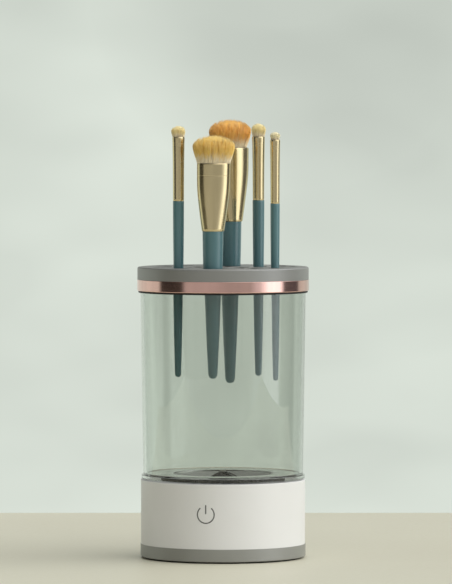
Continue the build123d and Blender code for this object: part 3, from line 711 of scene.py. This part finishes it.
def centre_of(node):
    low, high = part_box(node)
    return (low + high) / 2


def oval_half(name, node):
    """Half width and half depth of a brush's node that is an oval turned with the brush."""
    low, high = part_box(node)
    turn = math.radians(BRUSH_TURN[name])
    across, along = ((high.x - low.x) / 2) ** 2, ((high.y - low.y) / 2) ** 2
    c2, s2 = math.cos(turn) ** 2, math.sin(turn) ** 2
    return (math.sqrt((across * c2 - along * s2) / (c2 - s2)),
            math.sqrt((along * c2 - across * s2) / (c2 - s2)))


def handle_span(name):
    """The handle's tip, the height where the ferrule starts, and its largest radius."""
    low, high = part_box(name + "_handle")
    return low.z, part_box(name + "_ferrule")[0].z, (high.x - low.x) / 2


def handle_radius(name, z):
    tip, top, radius = handle_span(name)
    shape = THICK_HANDLE if is_face(name) else SLIM_HANDLE
    return radius * through(shape, (z - tip) / (top - tip))


def build_handle(name, materials):
    """A turned wooden handle: a rounded tip, a long taper and a soft edge under the ferrule."""
    tip, top, radius = handle_span(name)
    centre = centre_of(name + "_handle")
    tip_r = handle_radius(name, tip)
    bevel, bevel_middle = 0.25 * MM, 0.08 * MM
    end_steps, side_steps = 9, 60
    outline = [(0.0, tip)]
    for k in range(1, end_steps):
        turn = math.pi / 2 * k / end_steps
        across = tip_r * END_WIDTH * math.sin(turn) ** 0.85
        outline.append((across, tip + tip_r * END_DEPTH * (1 - math.cos(turn))))
    start = tip + tip_r * END_DEPTH
    for k in range(side_steps + 1):
        z = start + (top - bevel - start) * k / side_steps
        outline.append((handle_radius(name, z), z))
    outline += [(radius - bevel_middle, top - bevel_middle), (radius - bevel, top), (0.0, top)]
    piece = turned_piece(name + "_wood", outline, segments=96, close=False, centre=(centre.x, centre.y))
    return place(piece, name, "handle_teal", materials["handle_teal"], name + "_handle")


def lean(name, z):
    """How far a brush's metal and hair stand off its axis at a height; only the front one leans."""
    low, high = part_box(name + "_ferrule")
    share = min(max((z - low.z) / (high.z - low.z), 0.0), 1.0)
    return CAMERA_RIGHT * (LEAN.get(name, 0.0) * share)


def turned_with(name, centre, x, y):
    """Where a point (x, y) of a brush's own width and depth lies, with the brush turned."""
    turn = math.radians(BRUSH_TURN[name])
    c, s = math.cos(turn), math.sin(turn)
    return centre.x + x * c - y * s, centre.y + x * s + y * c


def oval_ring(bm, name, z, half_width, half_depth, power, count=128):
    """One level of a brush's oval: power 2 is a plain ellipse, a higher power is squarer."""
    centre = centre_of(name + "_ferrule") + lean(name, z)
    verts = []
    for k in range(count):
        a = math.tau * k / count
        c, s = math.cos(a), math.sin(a)
        x = math.copysign(abs(c) ** (2 / power), c) * half_width
        y = math.copysign(abs(s) ** (2 / power), s) * half_depth
        verts.append(bm.verts.new((*turned_with(name, centre, x, y), z)))
    return verts


def ferrule_grooves(name, high):
    """Heights of the crimp lines rolled into a ferrule, with their depths."""
    if is_face(name):
        return [(high - 8.0 * MM, 0.055 * MM)]
    return [(high - 4.1 * MM, 0.05 * MM), (high - 5.4 * MM, 0.05 * MM)]


def build_ferrule(name, materials):
    """A metal sleeve, round where it grips the handle and oval where it holds the hair."""
    node = name + "_ferrule"
    low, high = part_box(node)[0].z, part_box(node)[1].z
    half_width, half_depth = oval_half(name, node)
    shape = FERRULES.get(name, SLIM_FERRULE)
    widths = [(t, w) for t, w, _ in shape]
    depths = [(t, d) for t, _, d in shape]
    top_power = 2.06 if is_face(name) else 2.0
    grooves = ferrule_grooves(name, high)
    steps = 56
    levels = {low + (high - low) * k / steps for k in range(steps + 1)}
    for z, _ in grooves:
        levels |= {z + GROOVE_HALF * k / 3 for k in range(-5, 6)}
    handle_r = handle_span(name)[2]
    bm = bmesh.new()
    # The foot rests on the handle's top, and a shallow dish inside it closes the sleeve.
    rings = [oval_ring(bm, name, low + 0.8 * MM, handle_r * 0.7, handle_r * 0.7, 2.0),
             oval_ring(bm, name, low, handle_r * 0.98, handle_r * 0.98, 2.0)]
    for z in sorted(levels):
        share = (z - low) / (high - low)
        power = 2.0 + (top_power - 2.0) * smooth_step(share * 1.15)
        dent = sum(depth * math.exp(-((z - at) / GROOVE_HALF) ** 2) for at, depth in grooves)
        # Both ends are rolled in a little, over about a fifth of a millimetre.
        end = 0.18 * MM * (math.exp(-(z - low) / (0.2 * MM)) + math.exp(-(high - z) / (0.2 * MM)))
        rings.append(oval_ring(bm, name, z, half_width * through(widths, share) - dent - end,
                               half_depth * through(depths, share) - dent - end, power))
    mouth_w = half_width * shape[-1][1] - FERRULE_WALL
    mouth_d = half_depth * shape[-1][2] - FERRULE_WALL
    rings.append(oval_ring(bm, name, high, mouth_w, mouth_d, top_power))
    rings.append(oval_ring(bm, name, high - 3 * MM, mouth_w, mouth_d, top_power))
    add_strip(bm, rings, False)
    bm.faces.new(rings[0])
    bm.faces.new(rings[-1])
    piece = mesh_piece(name + "_sleeve", bm)
    return place(piece, name, "ferrule_gold", materials["ferrule_gold"], node)


def add_fibre(bm, path, radius, twist):
    """A tapering three-sided strand along a path, closed to a point."""
    rings = []
    for i, point in enumerate(path[:-1]):
        share = i / (len(path) - 1)
        r = radius * (1 - STRAND_TAPER * share)
        rings.append([
            bm.verts.new((point.x + r * math.cos(twist + math.tau * k / 3),
                          point.y + r * math.sin(twist + math.tau * k / 3), point.z)) for k in range(3)])
    tip = bm.verts.new(path[-1])
    add_strip(bm, rings, False)
    for k in range(3):
        bm.faces.new((rings[-1][k], rings[-1][(k + 1) % 3], tip))
    bm.faces.new(rings[0][::-1])


def strand_ends(rng, clumps):
    """Where a strand stands and where it ends, as shares of the head's half width and half depth."""
    angle = rng.uniform(0, math.tau)
    if rng.random() < OUTER_STRANDS:
        out = 1 - OUTER_DEPTH * rng.random() ** 1.6
    else:
        out = math.sqrt(rng.random()) * CORE_REACH
    u, v = out * math.cos(angle), out * math.sin(angle)
    near = min(clumps, key=lambda c: (c[0] - u) ** 2 + (c[1] - v) ** 2)
    pull = rng.uniform(*CLUMP_PULL)
    tip_u, tip_v = u + (near[0] - u) * pull, v + (near[1] - v) * pull
    size = math.hypot(tip_u, tip_v)
    if size > 1:
        tip_u, tip_v = tip_u / size, tip_v / size
    return angle, (u, v), (tip_u, tip_v), min(size, 1)


def build_hair(name, count, radius, shoulder, material, seed):
    """A brush head: a solid heart under thousands of strands that fan out and end in a dome."""
    node = name + "_hair"
    ferrule_top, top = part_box(name + "_ferrule")[1].z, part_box(node)[1].z
    height = top - ferrule_top
    half_width, half_depth = oval_half(name, node)
    centre = centre_of(node) + lean(name, top)
    head = FACE_HEAD if is_face(name) else SLIM_HEAD
    rng = random.Random(seed)

    def spot(u, v, share):
        """A place in the head, from shares of its half width, its half depth and its height."""
        fan = through(head, share)
        x, y = u * half_width * fan, v * half_depth * fan
        return Vector((*turned_with(name, centre, x, y), ferrule_top + share * height))

    bm = bmesh.new()
    heart = []
    least = 0.01 * MM
    for k in range(HEART_LEVELS + 1):
        share = HEART_START + k / HEART_LEVELS
        narrow = HEART_WIDTH * math.sqrt(max(1 - max(share / HEART_TOP, 0) ** 5, 0.0))
        fan = through(head, max(share, 0))
        heart.append(oval_ring(
            bm, name, ferrule_top + share * height, half_width * fan * narrow + least,
            half_depth * fan * narrow + least, HEART_POWER, HEART_SIDES))
    add_strip(bm, heart, False)
    bm.faces.new(heart[0])
    bm.faces.new(heart[-1])

    number = max(count // STRANDS_PER_CLUMP, FEWEST_CLUMPS)
    clumps = [(rng.uniform(-1, 1), rng.uniform(-1, 1)) for _ in range(number)]
    for _ in range(count):
        angle, (u, v), (tip_u, tip_v), size = strand_ends(rng, clumps)
        dome = shoulder + (1 - shoulder) * math.sqrt(1 - size ** DOME_POWER)
        end = dome * (LONGEST - SHORTER_BY * rng.random() ** 2)
        path = []
        for k in range(STRAND_STEPS + 1):
            t = k / STRAND_STEPS
            share = -STRAND_START + (end + STRAND_START) * t
            blend = smooth_step(t)
            point = spot(u + (tip_u - u) * blend, v + (tip_v - v) * blend, max(share, 0))
            path.append(point - Vector((0, 0, max(-share, 0) * height)))
        add_fibre(bm, path, radius * rng.uniform(*STRAND_RADII), angle)
    piece = mesh_piece(name + "_bristles", bm, smooth_angle=0)
    return place(piece, name, "brush_hair", material, node)


def build_brushes(materials):
    """All five brushes. A head has a number of strands, their radius, where its dome starts as a
    share of its height, and the colours of its tips and of its darker strands."""
    mustard, orange = srgb(255, 218, 120), srgb(250, 192, 90)
    cream, pale = srgb(255, 240, 208), srgb(255, 238, 176)
    heads = {
        "face_brush_front": (3000, 0.17 * MM, 0.56, mustard, srgb(222, 168, 70)),
        "face_brush_rear": (3000, 0.17 * MM, 0.52, orange, srgb(210, 138, 48)),
        "eye_brush_left": (800, 0.12 * MM, 0.5, pale, srgb(238, 200, 132)),
        "eye_brush_right": (800, 0.12 * MM, 0.5, pale, srgb(238, 200, 132)),
        "liner_brush": (600, 0.10 * MM, 0.5, srgb(255, 246, 206), srgb(250, 226, 170)),
    }
    for seed, name in enumerate(BRUSHES, FIRST_SEED):
        build_handle(name, materials)
        build_ferrule(name, materials)
        count, radius, shoulder, tip, dark = heads[name]
        root_z, tip_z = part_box(name + "_ferrule")[1].z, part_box(name + "_hair")[1].z
        hair = hair_material(name + "_hair", root_z, tip_z, cream, tip, dark)
        build_hair(name, count, radius, shoulder, hair, seed)


# ---------------------------------------------------------------- stage, light and camera
def build_table():
    """A pale cream table top with a rounded edge, its far edge behind the object."""
    half_width, front, back, thick, edge = 1.3, 0.9, 0.37, 0.03, 0.006
    corners = rounded([
        (-front, 0, edge), (back, 0, edge), (back, -thick, edge), (-front, -thick, edge)], 8)
    bm = bmesh.new()
    rings = []
    for side in (-half_width, half_width):
        rings.append([bm.verts.new(CAMERA_RIGHT * side - TOWARDS_CAMERA * depth + Vector((0, 0, z)))
                      for depth, z in corners])
    add_strip(bm, rings, False)
    for ring in rings:
        bm.faces.new(ring)
    table = mesh_piece("table", bm)
    paint = finish("table_cream", srgb(220, 217, 196), srgb(215, 211, 190), (0.38, 0.48), tone_scale=3.0,
                   grain=300.0, grain_strength=0.05)
    table.data.materials.append(paint)


def leaf_shadows(graph, direction, sideways, up):
    """Faint, wide shadows of leaves on the backdrop, which is a little lighter at the left."""
    def soft_noise(scale, turn, stretch, low, high):
        mapping = graph.add("ShaderNodeMapping")
        mapping.inputs["Rotation"].default_value = (0, math.radians(turn), CAMERA_TURN)
        mapping.inputs["Scale"].default_value = stretch
        graph.link(direction, mapping.inputs["Vector"])
        node = graph.add("ShaderNodeTexNoise")
        graph.link(mapping.outputs["Vector"], node.inputs["Vector"])
        node.inputs["Scale"].default_value = scale
        node.inputs["Detail"].default_value = 1.0
        return graph.spread(node.outputs["Fac"], low, high, (0.36, 0.64))

    # Each factor darkens or lightens the backdrop between its two values.
    wide = soft_noise(13.0, 0, (1, 1, 1), 0.91, 1.10)
    leaves = soft_noise(30.0, 35, (1, 1, 2.2), 0.95, 1.03)
    slope = graph.spread(sideways, 1.12, 0.98, (-0.06, 0.06))
    lower = graph.spread(up, 1.12, 1.0, (-0.08, -0.04))
    patch = graph.spread(graph.along(direction, DARK_PATCH), 1.0, 0.82, PATCH_EDGES)
    made = graph.math("MULTIPLY", graph.math("MULTIPLY", wide, leaves), slope)
    return graph.math("MULTIPLY", graph.math("MULTIPLY", made, lower), patch)


def colours_round(graph, turn, degrees):
    """Colours by direction round the vertical: 0 degrees is the camera's side, 90 its right."""
    # A ramp holds colours up to 1, so brighter ones are stored at a fifth and brought back.
    store = 0.2
    share = graph.spread(turn, 0.0, 1.0, (-math.pi, math.pi))
    stops = [((angle + 180) / 360, scaled(colour, store)) for angle, colour in degrees]
    return graph.mix(1.0, graph.ramp(share, stops), (1 / store,) * 3 + (1,), "MULTIPLY")


def build_world():
    """A soft studio round the object: pale backdrop behind, a bright window at the right of the
    camera, dim gaps beside both, a large light above the right and a pale floor."""
    world = bpy.data.worlds.new("studio")
    bpy.context.scene.world = world
    world.use_nodes = True
    graph = Graph(world.node_tree)
    direction = graph.add("ShaderNodeTexCoord").outputs["Generated"]
    sideways = graph.along(direction, CAMERA_RIGHT)
    forwards = graph.along(direction, TOWARDS_CAMERA)
    up = graph.along(direction, Vector((0, 0, 1)))
    turn = graph.math("ARCTAN2", sideways, forwards)

    backdrop, bright = (0.63, 0.68, 0.615, 1), (1.85, 1.9, 1.93, 1)
    dark, mid, gap = (0.035, 0.034, 0.03, 1), (0.43, 0.43, 0.41, 1), (0.1, 0.098, 0.1, 1)
    floor, top = (0.36, 0.35, 0.3, 1), (1.15, 1.15, 1.12, 1)
    level = [
        (-180, backdrop), (-97, backdrop), (-91, dark), (-57, dark), (-51, mid), (36, mid),
        (52, scaled(bright, 0.45)), (64, bright), (84, bright), (90, gap), (119, gap), (124, backdrop),
        (180, backdrop)]
    bands = colours_round(graph, turn, level)
    bands = graph.mix(1.0, bands, leaf_shadows(graph, direction, sideways, up), "MULTIPLY")
    # Higher up, a dim ceiling at the left turns into a large soft light above the right.
    lit = [(-180, 0.1), (-60, 0.04), (-10, 0.15), (30, 2.1), (100, 2.9), (140, 0.6), (180, 0.1)]
    ceiling = colours_round(graph, turn, [(angle, (value,) * 3 + (1,)) for angle, value in lit])
    upper = graph.mix(graph.spread(up, 0.0, 1.0, (0.22, 0.45)), bands, ceiling)
    above = graph.mix(graph.spread(up, 0.0, 1.0, (0.7, 0.9)), upper, top)
    whole = graph.mix(graph.spread(up, 1.0, 0.0, (-0.3, -0.16)), above, floor)
    background = world.node_tree.nodes["Background"]
    graph.link(whole, background.inputs["Color"])
    background.inputs["Strength"].default_value = 1.0


def build_camera():
    """A long lens far away, just above the highest brush and looking slightly down."""
    data = bpy.data.cameras.new("camera")
    data.lens = LENS
    data.clip_end = 100
    camera = bpy.data.objects.new("camera", data)
    bpy.context.scene.collection.objects.link(camera)
    beside = CAMERA_RIGHT * AIM_RIGHT
    aim = beside + Vector((0, 0, AIM_HEIGHT))
    camera.location = TOWARDS_CAMERA * CAMERA_DISTANCE + beside + Vector((0, 0, CAMERA_HEIGHT))
    camera.rotation_euler = (aim - camera.location).to_track_quat("-Z", "Y").to_euler()
    bpy.context.scene.camera = camera


def dress_frame(materials):
    """Gives every CAD node the finished material of its slot in the record."""
    slots = {part["node"]: part["material_slot"] for part in frame["record"]["subparts"]}
    for name, node in frame["nodes"].items():
        # The nodes of the hair are all replaced, so the grey that they get is never seen.
        material = materials.get(slots[name], materials["base_grey"])
        for material_slot in node.material_slots:
            material_slot.material = material


def main():
    materials = slot_materials()
    dress_frame(materials)
    build_cup(materials)
    build_lid_ring(materials)
    build_puck(materials)
    build_petals(materials)
    build_brushes(materials)
    build_table()
    build_world()
    build_camera()
    bpy.context.scene.view_settings.view_transform = "Standard"


main()
